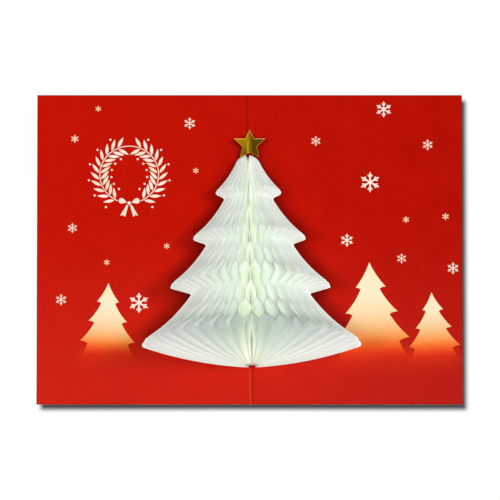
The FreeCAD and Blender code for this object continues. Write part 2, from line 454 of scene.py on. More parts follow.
def cardShape():
    reach, steps = card["creaseReach"], card["creaseSteps"]
    crease = [reach * (2 * step / steps - 1) for step in range(steps + 1)]
    section = [(x, cardTop + creaseHeight(x)) for x in [cardLow[0]] + crease + [cardHigh[0]]]
    section += [(cardHigh[0], 0.0), (cardLow[0], 0.0)]
    shape = bmesh.new()
    ends = []
    for y in (cardLow[1], cardHigh[1]):
        ends.append([shape.verts.new((x - foldDrift * y if abs(x) < cardHigh[0] / 2 else x, y, z))
                     for x, z in section])
    joinRings(shape, *ends)
    for end in ends:
        shape.faces.new(end)
    bmesh.ops.recalc_face_normals(shape, faces=shape.faces)
    rims = [edge for edge in shape.edges if edge.calc_face_angle() > card["rimAngle"]]
    bmesh.ops.bevel(shape, geom=rims, offset=card["rimRound"], segments=2, affect="EDGES", profile=0.5)
    for face in shape.faces:
        if face.normal.z < card["printFacing"]:
            face.material_index = 1
    return meshFrom("cardSheet", shape)


def redPrintAndShade(graph):  # the printed red, with painted shade round the tissue, along the crease and at the cut edges and a painted highlight beside the crease, on the sheet and in the firs' fading feet
    spot, x, y, _ = graph.place()
    across = x.ramp(cardLow[0], cardHigh[0], "LINEAR")
    up = y.ramp(cardLow[1], cardLow[1] + card["fadeHeight"])
    upper = graph.mixColour(across, card["upperLeft"], card["upperRight"])
    lower = graph.mixColour(across, card["lowerLeft"], card["lowerRight"])
    layers = []
    wide, tall = card["glowReach"]
    for fir in firs["trees"].values():
        middle = (fir["apex"][0] + card["glowAside"]) * mm
        foot = (fir["apex"][1] - firs["base"][1] * fir["scale"] * card["glowDrop"]) * mm
        near = x.bell(middle, wide * fir["scale"]) * y.bell(foot, tall * fir["scale"])
        layers.append((near * card["glowShare"], card["glow"]))
    # painted shade: ambient occlusion darkens the red close round the tissue tree, less towards the
    # lower edge
    clear = graph.node("ShaderNodeAmbientOcclusion", {"samples": card["contactSamples"]},
                       {"Distance": card["contactReach"]}, output="AO")
    beside = (y - cardBottomEdge).ramp(*card["contactRise"])
    # the crease's painted shade line and painted highlight follow the fold
    fold = x + y * foldDrift
    foldShadeLine, foldHighlightLine = card["foldShares"]
    # painted shade along the cut edges
    inset = card["rimShadeWidth"]
    rim = abs(x).ramp(cardHigh[0] - inset, cardHigh[0])
    rim = rim.most(abs(y).ramp(cardHigh[1] - inset, cardHigh[1]))
    fibre = graph.noise(graph.stretched(spot, card["grain"]), *card["grainNoise"])
    cloud = graph.noise(spot, card["cloudScale"])
    worn = (fibre - 0.5) * card["fibreShare"] + (cloud - 0.5) * card["cloudShare"]
    wornLight, wornDark = card["wornShares"]
    layers += [
        ((1 - clear) * beside * card["contactShade"], card["contactShadeTone"]),
        (fold.bell(*card["foldShadeLine"]) * foldShadeLine, card["foldShade"]),
        (fold.bell(*card["foldHighlightLine"]) * (1 - up) * foldHighlightLine, card["glow"]),
        (rim * card["rimShadeShare"], card["rim"]),
        ((worn * wornLight).most(0.0), card["wornLight"]),
        ((worn * -wornDark).most(0.0), card["wornDark"])]
    return graph.layered(graph.mixColour(up, lower, upper), layers), fibre


def dressPrint(graph, surface, colour, fibre, roughness):
    dress(graph, surface, {
        "Base Color": colour, "Roughness": roughness + fibre * card["roughnessGrain"],
        "Specular IOR Level": card["gloss"], "Normal": graph.bump(fibre, *card["relief"])})


def cardFinish():
    material, graph, surface = newFinish("cardPrint")
    red, fibre = redPrintAndShade(graph)
    dressPrint(graph, surface, red, fibre, card["roughness"])
    return material


def boardFinish():
    material, graph, surface = newFinish("cutBoard")
    spot = graph.place()[0]
    fibre = graph.noise(spot, *card["boardNoise"])
    dress(graph, surface, {
        "Base Color": graph.mixColour(fibre, card["boardDark"], card["boardLight"]),
        "Roughness": card["boardRoughness"], "Normal": graph.bump(fibre, *card["boardRelief"])})
    return material


def addCard():
    sheet = newPiece("cardSheet", cardShape(), [cardFinish(), boardFinish()])
    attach(sheet, "root")
    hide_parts("card")


# the printed fir trees
firs = {
    "trees": {  # apex in mm, scale, each side's breadth, the tiers' tilt
        "firLeft": {"apex": (-79.64, -19.5), "scale": 1.0, "left": 1.03, "right": 0.97,
                    "tilt": -0.045, "film": 0.03 * mm, "fadeShift": 0.0},
        "firBig": {"apex": (67.46, -7.4), "scale": 1.31, "left": 0.95, "right": 1.13,
                   "tilt": 0.045, "film": 0.03 * mm, "fadeShift": 0.0},
        "firFar": {"apex": (102.47, -24.9), "scale": 0.92, "left": 0.90, "right": 1.15,
                   "tilt": 0.048, "film": 0.045 * mm, "fadeShift": 0.12},
    },
    "tiers": (  # mm out from the middle and below the apex: tip, then the notch
        ((6.2, 11.0), (3.95, 12.0)),
        ((10.8, 22.3), (7.7, 23.3)),
        ((15.3, 33.9), (11.4, 35.4)),
    ),
    "base": (17.2, 45.0),
    "slope": (0.55, 8),  # mm that an edge bows, and its pieces
    "under": (0.3, 4),
    "foot": (0.8, 8),
    "edgeGap": 1.0 * mm,  # the print stops short of the cut edge
    "fade": (
        (0.0, paint(252, 236, 192)),
        (0.30, paint(251, 236, 200)),
        (0.40, paint(254, 230, 188)),
        (0.53, paint(253, 216, 168)),
        (0.64, paint(252, 193, 130)),
        (0.74, paint(254, 155, 80)),
        (0.80, paint(248, 115, 48)),
        (0.86, paint(240, 76, 30)),
        (0.93, paint(228, 52, 24)),
    ),
    "shiftLean": 0.6,  # under 1, a fir's fade is shifted most nearer its apex
    "fadeGrain": 0.03,
    "intoRed": (0.84, 1.0),
    "roughness": 0.5,
}


def bowedRun(start, end, bow, pieces):  # points from start to end on a line that bows to its right
    run = end - start
    side = Vector((run.y, -run.x)).normalized() * bow
    return [start + run * (step / pieces) + side * 4 * (step / pieces) * (1 - step / pieces)
            for step in range(pieces + 1)]


def firSide(fir, side):  # one side's outline from the apex down, side is -1 or 1
    width = fir["left"] if side < 0 else fir["right"]

    def turn(point):
        out, drop = point
        across = side * out * width
        return Vector((across, -drop + fir["tilt"] * across)) * fir["scale"]

    outline = [Vector((0.0, 0.0))]

    def runTo(point, bow, pieces):
        outline.extend(bowedRun(outline[-1], turn(point), side * bow * fir["scale"], pieces)[1:])

    for tip, notch in firs["tiers"]:
        runTo(tip, *firs["slope"])
        runTo(notch, *firs["under"])
    runTo(firs["base"], *firs["foot"])
    return outline


def firShape(name, fir):
    outline = firSide(fir, 1) + firSide(fir, -1)[:0:-1]
    apex = Vector(fir["apex"])
    length = firs["base"][1] * fir["scale"]
    spots, fades = [], []
    for point in outline:
        x = min((apex.x + point.x) * mm, cardHigh[0] - firs["edgeGap"])
        spots.append((x, (apex.y + point.y) * mm))
        drop = -(point.y - fir["tilt"] * point.x) / length
        fades.append(drop + fir["fadeShift"] * math.sin(math.pi * max(drop, 0.0) ** firs["shiftLean"]))
    shape = bmesh.new()
    fade = shape.verts.layers.float.new("fade")
    for vertex, value in zip(addPrint(shape, spots, printBase, cardTop + fir["film"]), fades * 2):
        vertex[fade] = value
    return meshFrom(name, shape)


def firFinish():
    material, graph, surface = newFinish("firPrint")
    red, fibre = redPrintAndShade(graph)
    fade = graph.attribute("fade")
    tone = graph.node("ShaderNodeValToRGB", {"stops": firs["fade"]},
                      {"Fac": fade + (fibre - 0.5) * firs["fadeGrain"]})
    faded = graph.mixColour(fade.ramp(*firs["intoRed"]), tone, red)
    dressPrint(graph, surface, faded, fibre, firs["roughness"])
    return material


def addFirs():
    finish = firFinish()
    for name, fir in firs["trees"].items():
        piece = newPiece(name, firShape(name, fir), [finish])
        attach(piece, "root")


# the printed snowflakes
flakes = {
    "film": 0.04 * mm,
    "branchedArm": {  # over the flake's size; a barb is start, length, half breadth, lean
        "half": 0.038,
        "barbs": ((0.225, 0.160, 0.026, math.radians(42)), (0.350, 0.070, 0.020, math.radians(42))),
        "end": ((0.026, 0.43), (0.020, 0.475)),
    },
    "plainArm": {"half": 0.060, "barbs": (), "end": ((0.095, 0.33), (0.070, 0.45))},
    "branched": (  # x, y and size in mm: flakes whose arms carry barbs
        (68.0, 39.2, 11.9), (-62.4, -31.0, 11.9), (75.8, 81.7, 9.5), (54.9, 5.4, 7.8),
        (114.7, -10.9, 7.1), (-33.9, 73.5, 7.1), (-106.3, -29.2, 6.8), (100.6, 61.0, 6.5),
        (37.4, 63.2, 6.0), (-100.0, 12.5, 6.0), (85.7, -5.2, 6.0),
    ),
    "plain": (
        (-98.8, 64.5, 4.7), (110.6, 19.2, 4.2), (88.3, 17.4, 3.9), (-85.6, 82.0, 3.6),
        (-30.4, 45.9, 3.6), (-46.8, 2.0, 3.6), (-80.6, -7.5, 3.6),
    ),
    "arms": 6,
    "weld": 0.002,  # over the flake's size
    "smallTone": paint(255, 200, 160),  # small flakes are printed thinner
    "largeTone": paint(255, 243, 228),
    "toneSizes": (3.2 * mm, 8.0 * mm),
}
ink = {  # pale ink, a little of the red shows through it
    "grainNoise": (1800.0, 3.0),
    "thin": paint(240, 150, 120),
    "thinShare": 0.12,
    "roughness": 0.55,
}


def inkFinish(name, toneOf):
    material, graph, surface = newFinish(name)
    spot = graph.place()[0]
    thin = graph.noise(spot, *ink["grainNoise"]) * ink["thinShare"]
    dress(graph, surface, {"Base Color": graph.mixColour(thin, toneOf(graph, spot), ink["thin"]),
                           "Roughness": ink["roughness"], "Specular IOR Level": card["gloss"]})
    return material


def armSide(arm):  # right side of one arm, from the seam with the next arm to the tip
    half = arm["half"]
    side = [Vector((half, half / math.tan(math.pi / flakes["arms"])))]
    for start, length, broad, lean in arm["barbs"]:
        along = Vector((math.sin(lean), math.cos(lean)))
        out = Vector((math.cos(lean), -math.sin(lean))) * broad
        root = Vector((0.0, start))
        lower, upper = root + out, root - out
        side += [lower + along * ((half - lower.x) / along.x), lower + along * length,
                 root + along * (length + broad), upper + along * length,
                 upper + along * ((half - upper.x) / along.x)]
    return side + [Vector(point) for point in arm["end"]]


def addArm(shape, layers, arm, barbed):  # open at its two seams, so that six weld into one solid
    right = armSide(arm)
    left = [Vector((-point.x, point.y)) for point in right[::-1]]
    outline = [Vector((0.0, 0.0))] + right + [Vector((0.0, 0.5))] + left
    rings = []
    for z in (0.0, 1.0):
        ring = [shape.verts.new((point.x, point.y, z)) for point in outline]
        for vertex in ring:
            vertex[layers["barbed"]] = barbed
        rings.append(ring)
    shape.faces.new(rings[1])
    shape.faces.new(rings[0][::-1])
    joinRings(shape, rings[0][1:], rings[1][1:], closed=False)


def flakeSheet():  # the two arm shapes, and a loose point for each flake
    shape = bmesh.new()
    layers = {name: shape.verts.layers.float.new(name) for name in ("size", "barbed")}
    for name, barbed in (("branched", 1.0), ("plain", 0.0)):
        addArm(shape, layers, flakes[name + "Arm"], barbed)
        for x, y, width in flakes[name]:
            centre = shape.verts.new((x * mm, y * mm, printBase))
            centre[layers["size"]] = width * mm
            centre[layers["barbed"]] = barbed
    return meshFrom("snowflakes", shape, turnOut=False)


def flakeTone(graph, _):
    share = graph.attribute("flakeSize").ramp(*flakes["toneSizes"], "LINEAR")
    return graph.mixColour(share, flakes["smallTone"], flakes["largeTone"])


def addFlakes():
    graph, given, inputs, entries = geometryTree("snowflakePrint", flakes, ("arms", "film", "weld"))
    ring = graph.node("GeometryNodePoints", None, {"Count": inputs["arms"]})
    step = math.tau / inputs["arms"]
    turn = graph.vector(0.0, 0.0, graph.node("GeometryNodeInputIndex") * step)
    size = named(graph, "size")
    places = kept(graph, given, size > 0.0)
    arms = kept(graph, given, 1 - (size > 0.0))
    result = graph.node("GeometryNodeJoinGeometry")
    for kind in (0, 1):
        wanted = abs(named(graph, "barbed") - kind) < 0.5
        six = graph.node("GeometryNodeInstanceOnPoints", None, {
            "Points": ring, "Instance": kept(graph, arms, wanted), "Rotation": turn})
        loose = graph.node("GeometryNodeRealizeInstances", None, {"Geometry": six})
        flake = graph.node("GeometryNodeMergeByDistance", None, {
            "Geometry": loose, "Distance": inputs["weld"]})
        placed = graph.node("GeometryNodeInstanceOnPoints", None, {
            "Points": kept(graph, places, wanted), "Instance": flake,
            "Scale": graph.vector(size, size, inputs["film"])})
        addTo(result, stored(graph, placed, "flakeSize", size, "INSTANCE"))
    piece = newPiece("snowflakes", flakeSheet(), [])
    applyTree(piece, graph, result, entries, inkFinish("flakePrint", flakeTone))
    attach(piece, "root")


# the printed wreath, a generic ornament where a greeting would stand
wreath = {
    "centre": (-68.0, 43.6),  # mm on the card
    "radius": 16.6 * mm,
    "film": 0.04 * mm,
    "stemHalf": 0.26 * mm,
    "stemSteps": 96,
    "leaves": 22,  # on each side of the stem
    "leafLength": 6.6 * mm,
    "lengthSpread": 0.12,
    "leafBreadth": 0.135,  # half breadth over the length
    "leafFullest": 0.85,  # under 1, a leaf is broadest nearer its foot
    "leafSteps": 10,
    "leafOut": 0.5 * mm,  # a leaf's foot from the stem's middle
    "lean": math.radians(40),  # between leaf and stem, outside the ring and inside it
    "leanInside": math.radians(52),
    "bowGap": math.radians(46),  # stem left free for the bow, and bare at the top
    "topGap": math.radians(32),
    "berries": 12,
    "berryRadius": 0.62 * mm,
    "berryOut": 6.4 * mm,  # out from the stem
    "berrySteps": 14,
    "seed": 2.3,
    "seedStep": 1.37,  # from leaf to leaf
    "bowTail": ((0.5, -1.35), (2.3, -8.0), (3.5, -6.9), (5.1, -7.3), (1.35, -0.9)),
    "bowLoop": (1.3, 2.4, 2.2),  # mm: where it starts, its half length and its half breadth
    "bowTurn": 0.3,
    "loopPinch": 1.4,  # over 1, a loop is slimmer near the knot
    "loopSteps": 24,
    "knotSteps": 16,
    "cloudScale": 120.0,
    "clouds": (0.35, 0.65),
    "ink": paint(252, 228, 200),
    "inkBright": paint(255, 244, 230),
}


def bowOutlines():  # two loops, two tails and the knot, mm from the knot's middle
    start, half, broad = wreath["bowLoop"]
    cosine, sine = math.cos(wreath["bowTurn"]), math.sin(wreath["bowTurn"])
    loop = []
    for step in range(wreath["loopSteps"]):
        turn = math.tau * step / wreath["loopSteps"]
        out = start + half * (1 - math.cos(turn))
        wide = broad * math.sin(turn) * abs(math.sin(turn / 2)) ** wreath["loopPinch"]
        loop.append((out * cosine - wide * sine, out * sine + wide * cosine))
    tail = wreath["bowTail"]
    flipped = [[(-x, y) for x, y in outline[::-1]] for outline in (loop, tail)]
    return [loop, tail, circle(wreath["knotSteps"])] + flipped


def addStem(shape, centre, low, high):
    half, gap, steps = wreath["stemHalf"], wreath["bowGap"], wreath["stemSteps"]
    stem = []
    for step in range(steps + 1):
        turn = gap / 2 - math.pi / 2 + (math.tau - gap) * step / steps
        out = Vector((math.cos(turn), math.sin(turn), 0.0))
        stem.append([
            shape.verts.new(out * (wreath["radius"] + aside) + Vector((centre.x, centre.y, z)))
            for aside, z in ((-half, low), (half, low), (half, high), (-half, high))])
    for near, far in zip(stem, stem[1:]):
        joinRings(shape, near, far)
    shape.faces.new(stem[0][::-1])
    shape.faces.new(stem[-1])


def wreathShapes():  # the fixed parts, then a leaf and a berry to be set out
    shape = bmesh.new()
    kind = shape.verts.layers.float.new("kind")
    centre = Vector(wreath["centre"]) * mm
    high = cardTop + wreath["film"]
    addStem(shape, centre, printBase, high)
    for outline in bowOutlines():
        spots = [(centre.x + x * mm, centre.y - wreath["radius"] + y * mm) for x, y in outline]
        addPrint(shape, spots, printBase, high)
    lower = []
    for step in range(wreath["leafSteps"] + 1):
        along = step / wreath["leafSteps"]
        out = wreath["leafBreadth"] * math.sin(math.pi * along ** wreath["leafFullest"])
        lower.append((along, -out))
    leaf = lower + [(along, -out) for along, out in lower[-2:0:-1]]
    for number, outline in ((1.0, leaf), (2.0, circle(wreath["berrySteps"]))):
        for vertex in addPrint(shape, outline, 0.0, 1.0):
            vertex[kind] = number
    return meshFrom("leafWreath", shape)


def wreathTone(graph, spot):
    cloud = graph.noise(spot, wreath["cloudScale"]).ramp(*wreath["clouds"])
    return graph.mixColour(cloud, wreath["ink"], wreath["inkBright"])


def addWreath():
    graph, given, size, entries = geometryTree("wreathPrint", wreath, (
        "leaves", "berries", "radius", "leafLength", "leafOut", "lean", "leanInside", "bowGap",
        "topGap", "berryRadius", "berryOut", "film", "lengthSpread", "seed"))
    kind = named(graph, "kind")
    centre = Vector(wreath["centre"]) * mm
    result = graph.node("GeometryNodeJoinGeometry")

    def setOut(count, number, side, out, lean, length):
        share = (graph.node("GeometryNodeInputIndex") + 0.5) / count
        left = share > 0.5
        turn = share * (math.tau - size["bowGap"] - size["topGap"]) + left * size["topGap"]
        turn = turn + (size["bowGap"] / 2 - math.pi / 2)
        points = graph.node("GeometryNodePoints", None, {"Count": count, "Position": graph.vector(
            turn.cosine() * out + centre.x, turn.sine() * out + centre.y, printBase)})
        heading = turn + (1 - left * 2) * (math.pi / 2 - lean * side)
        placed = graph.node("GeometryNodeInstanceOnPoints", None, {
            "Points": points, "Instance": kept(graph, given, abs(kind - number) < 0.5),
            "Rotation": graph.vector(0.0, 0.0, heading),
            "Scale": graph.vector(length, length, size["film"])})
        addTo(result, placed)

    addTo(result, kept(graph, given, kind < 0.5))
    spot = graph.node("GeometryNodeInputIndex") * wreath["seedStep"] + size["seed"]
    uneven = graph.noise(graph.vector(spot, spot * 0.5, 0.0), 1.0) - 0.5
    spread = uneven * size["lengthSpread"] * 2 + 1
    for side, lean in ((1, size["lean"]), (-1, size["leanInside"])):
        leafRing = size["radius"] + size["leafOut"] * side
        berryRing = size["radius"] + size["berryOut"] * side
        setOut(size["leaves"], 1, side, leafRing, lean, size["leafLength"] * spread)
        setOut(size["berries"], 2, side, berryRing, 0.0, size["berryRadius"])
    piece = newPiece("leafWreath", wreathShapes(), [])
    applyTree(piece, graph, result, entries, inkFinish("wreathPrint", wreathTone))
    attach(piece, "root")


# the tissue honeycomb
tissue = {
    "turns": {  # the half outline: radius and height of each turn, mm
        "hem": (63.3, 12.3), "notch3": (33.1, 42.35),
        "tier3": (46.2, 46.1), "notch2": (24.2, 71.2),
        "tier2": (32.8, 74.2), "notch1": (13.4, 98.1),
        "tier1": (19.5, 100.9), "shoulder": (5.9, 120.6), "top": (2.8, 122.8),
    },
    "footBow": 2.5,  # mm that the foot bows
    "footPieces": 22,
    "slopeBow": 0.052,  # a slope's bow over its length
    "hemRound": 3.4,  # mm that a corner's round takes from each edge
    "tipRound": 2.6,
    "notchRound": 1.8,
    "lean": 0.006,  # how much higher the right half stands, over its width
    "leaves": 42,
    "pitch": 0.15 * mm,  # one leaf's share of the stack
    "gap": 0.01 * mm,  # between the faces of glued leaves
    "radialPoints": 5,  # from the core to the rim
    "coreRadius": 2.05 * mm,
    "coreInset": 1.3 * mm,  # the bonded core ends this far inside the tree's ends
    "coreSteps": 16,
    "topHalf": 0.45 * mm,  # the open notches at the ends of the fold
    "topNotch": 3.6 * mm,
    "topSpread": 2.2,  # a notch has run out at this times its half width
    "footHalf": 1.8 * mm,
    "footNotch": 1.0 * mm,
    "footSpread": 1.15,
    "foot": 21.4 * mm,  # from the card's lower edge
    "gluePitch": 11.75 * mm,  # from a glue strip to the next one, on the leaf's other side
    "firstStrip": 22.75 * mm,  # height of the lowest strip above the foot's own
    "stripHalf": 1.6 * mm,
    "weld": 0.001 * mm,  # points this close at a notch become one
    "wander": 0.22,  # how far a leaf's fold wanders, over the step between leaves
    "wanderScale": (3.17, 26.0, 9.0),  # how fast it changes: per leaf, and per metre up and out
    "lift": 0.4,  # how far the lowest leaves stand off the card, over the same step
    "seed": 3.7,
    "innerTone": paint(245, 250, 247),
    "outerTone": paint(248, 251, 249),
    "toneRun": 0.7,  # under 1, the outer tone starts nearer the fold
    "warmTone": paint(252, 252, 247),
    "warmHalf": 3.5 * mm,  # beside the fold
    "warmShare": 0.4,
    "rimHighlightTone": paint(255, 240, 234),
    "rimBand": (0.975, 0.995),  # painted pinkish highlight on the rims of the two leaves on the card
    "hollowShadeTone": paint(220, 231, 225),
    "hollowShadeRow": (17 * mm, 4 * mm),  # painted shade in the hollow row of cells above the foot, its middle and width
    "hollowShadeTips": (11 * mm, 15 * mm),  # from here up it leaves out the leaves' tips
    "tipBand": (0.75, 1.0),
    "hollowShadeShare": 0.6,
    "grainTone": paint(225, 230, 220),
    "grain": (1.0, 0.35, 1.0),
    "grainNoise": (1500.0, 3.0),
    "grainFrom": 0.45,
    "grainShare": 0.15,
    "edgeShadeTone": paint(206, 221, 207),  # painted thin shade at the cells' edges
    "edgeBand": (0.85, 1.0),
    "edgeRise": (9 * mm, 14 * mm),  # heights above the foot where it grows to full
    "edgeLeast": 0.3,
    "high": (10 * mm, 52 * mm),  # heights over the card: low leaves, and the ones on top
    "leftToRight": (-16 * mm, 4 * mm),  # the painted shade and glow in the cells are weaker left of the fold
    "leftLeast": 0.55,
    "cells": (12 * mm, 17 * mm),  # heights above the foot: the fan there ends, the cells begin
    "glow": 0.50,  # painted light: the leaves' own glow, standing in for daylight that comes through them
    "glowTone": paint(246, 240, 226),
    "creamTone": paint(255, 242, 234),  # at the fold and in the fan
    "glowShares": (0.16, 0.15, 0.06, 0.6),  # of the even glow, the cells, the slits and the lit rims
    "glowRise": (18 * mm, 30 * mm),  # where the even glow starts, and where it is full
    "evenGlow": (0.65, 0.1),  # at the fold, and what the rim adds
    "fanRise": (8 * mm, 15 * mm),
    "fanGlow": (0.8, 0.36),  # low leaves, and near the foot
    "cellMost": 0.7,
    "cellFold": 9 * mm,  # less light in the cells near the fold
    "cellLess": (0.17, 0.3),  # near the fold, and in the thin shade
    "slitHalf": 1.3 * mm,  # the cream light in the slits along the fold
    "litRim": (0.97, 0.99),  # painted highlight on the rims of the low leaves, counted from the middle one
    "litLeaves": (10, 20),
    "throughTone": paint(246, 250, 247),
    "throughShare": 0.22,
    "roughness": 0.85,
    "gloss": 0.15,
    "relief": (0.25, 0.05 * mm),
}
treeFoot = cardBottomEdge + tissue["foot"]
treeHeight = tissue["turns"]["top"][1] * mm


def rounded(before, corner, after, reach, pieces=5):  # a corner's round, between its two edges
    start = corner + (before - corner).normalized() * reach
    end = corner + (after - corner).normalized() * reach
    shares = [step / pieces for step in range(pieces + 1)]
    return [start * (1 - share) ** 2 + corner * 2 * share * (1 - share) + end * share ** 2
            for share in shares]


def leafOutline():  # from the foot to the top, as radius and height in metres
    turns = {name: Vector(point) for name, point in tissue["turns"].items()}
    notchRound = tissue["notchRound"]
    foot = bowedRun(Vector((0.0, 0.0)), turns["hem"], tissue["footBow"], tissue["footPieces"])
    corners = [(point, 0.0) for point in foot[1:-1]
               if (point - turns["hem"]).length > tissue["hemRound"]]
    slopes = (("hem", "notch3"), ("tier3", "notch2"), ("tier2", "notch1"), ("tier1", "shoulder"))
    for tip, notch in slopes:
        low, high = turns[tip], turns[notch]
        reach = tissue["hemRound"] if tip == "hem" else tissue["tipRound"]
        slope = bowedRun(high, low, tissue["slopeBow"] * (high - low).length, round(high.y - low.y))
        corners.append((low, reach))
        corners += [(point, 0.0) for point in slope[-2:0:-1]
                    if (point - low).length > reach and (point - high).length > notchRound]
        corners.append((high, notchRound))
    corners.append((turns["top"], 0.0))
    outline = []
    for (before, _), (corner, reach), (after, _) in zip(corners, corners[1:], corners[2:]):
        outline += rounded(before, corner, after, reach) if reach else [corner]
    return [point * mm for point in [corners[0][0]] + outline + [turns["top"]]]


def outlineMesh(points):
    mesh = bpy.data.meshes.new("tissueTree")
    mesh.from_pydata([(point.x, point.y, 0.0) for point in points], [], [])
    return mesh


def growLeaves(finish):
    points = leafOutline()
    values = dict(tissue, rows=len(points), treeHeight=treeHeight)
    graph, given, size, entries = geometryTree("honeycombLeaves", values, (
        "leaves", "rows", "radialPoints", "pitch", "gap", "coreRadius", "gluePitch", "firstStrip",
        "stripHalf", "wander", "lift", "seed", "topHalf", "topNotch", "footHalf", "footNotch",
        "treeHeight", "weld"))

    slab = graph.node("GeometryNodeMeshCube", None, {
        "Vertices X": size["radialPoints"], "Vertices Y": size["rows"], "Vertices Z": 2})
    position = graph.node("GeometryNodeInputPosition")
    flat = slab
    for name, value in zip(("across", "along", "upper"), graph.apart(position)):
        flat = stored(graph, flat, name, value + 0.5)
    stations = graph.node("GeometryNodePoints", None, {"Count": size["leaves"]})
    copies = graph.node("GeometryNodeInstanceOnPoints", None, {"Points": stations, "Instance": flat})
    numbered = stored(graph, copies, "leaf", graph.node("GeometryNodeInputIndex"), "INSTANCE")
    stack = graph.node("GeometryNodeRealizeInstances", None, {"Geometry": numbered})

    leaf = named(graph, "leaf")
    across = named(graph, "across")
    row = named(graph, "along") * (size["rows"] - 1)
    rim = graph.node("GeometryNodeSampleIndex", {"data_type": "FLOAT_VECTOR", "domain": "POINT"}, {
        "Geometry": given, "Value": position, "Index": row.math("ROUND")})
    edge, height, _ = graph.apart(rim)
    radius = size["coreRadius"] + (edge - size["coreRadius"]).most(0.0) * across

    lowest = size["firstStrip"] - size["gluePitch"]
    cycle = (height.most(lowest) - lowest) % (size["gluePitch"] * 2)
    apart = abs(cycle - size["gluePitch"])  # height to the nearest strip on this side
    swing = apart.ramp(size["stripHalf"], size["gluePitch"] - size["stripHalf"])
    share = swing + leaf % 2 * (1 - swing * 2)
    last = leaf > (size["leaves"] - 1.5)
    inner = (leaf > 0.5) * (1 - last)
    share = share * inner + last

    planes = size["leaves"] - 2
    turn = math.pi / planes
    perLeaf, perHeight, perRadius = tissue["wanderScale"]

    def foldAngle(plane):  # where a glued plane lies; the outermost two lie flat
        held = plane.least(planes - plane).most(0.0).least(1.0)
        spot = graph.vector(plane * perLeaf + size["seed"], height * perHeight, radius * perRadius)
        stray = (graph.noise(spot, 1.0) - 0.5) * 2
        lift = (1 - held) * size["lift"] * (1 - (plane > 1) * 2)
        return (plane + stray * size["wander"] * held + lift) * turn

    angle = foldAngle(leaf) * (1 - share) + foldAngle(leaf - 1) * share
    skin = size["gap"] / 2 + named(graph, "upper") * (size["pitch"] - size["gap"])
    offset = size["pitch"] * (share - 1) + skin
    x = radius * angle.cosine() - offset * angle.sine()
    z = radius * angle.sine() + offset * angle.cosine() + (cardTop + tissue["pitch"])
    topHalf, footHalf = size["topHalf"], size["footHalf"]
    topGap = 1 - abs(x).ramp(topHalf, topHalf * tissue["topSpread"])
    footGap = 1 - abs(x).ramp(footHalf, footHalf * tissue["footSpread"])
    lowered = height.least(size["treeHeight"] - size["topNotch"] * topGap)
    y = lowered.most(size["footNotch"] * footGap) + treeFoot
    place = graph.vector(x - y * foldDrift, y + x * tissue["lean"], z)
    shaped = graph.node("GeometryNodeSetPosition", None, {"Geometry": stack, "Position": place})
    welded = graph.node("GeometryNodeMergeByDistance", None, {
        "Geometry": shaped, "Distance": size["weld"]})
    smoothed = graph.node("GeometryNodeSetShadeSmooth", None, {
        "Geometry": welded, "Shade Smooth": True})
    piece = newPiece("tissueTree", outlineMesh(points), [])
    applyTree(piece, graph, smoothed, entries, finish)
    return piece


def addCore(piece):  # the bonded spine that the leaves spring from
    shape = bmesh.new()
    shape.from_mesh(piece.data)
    radius, inset, steps = tissue["coreRadius"], tissue["coreInset"], tissue["coreSteps"]
    base = cardTop + tissue["pitch"] / 2
    rings = []
    for y in (treeFoot + inset, treeFoot + treeHeight - inset):
        ring = []
        for step in range(steps + 1):
            angle = math.pi * step / steps
            x = radius * math.cos(angle) - y * foldDrift
            ring.append(shape.verts.new((x, y, base + radius * math.sin(angle))))
        rings.append(ring)
    made = joinRings(shape, *rings) + [shape.faces.new(ring) for ring in rings]
    bmesh.ops.recalc_face_normals(shape, faces=made)
    shape.to_mesh(piece.data)
    shape.free()


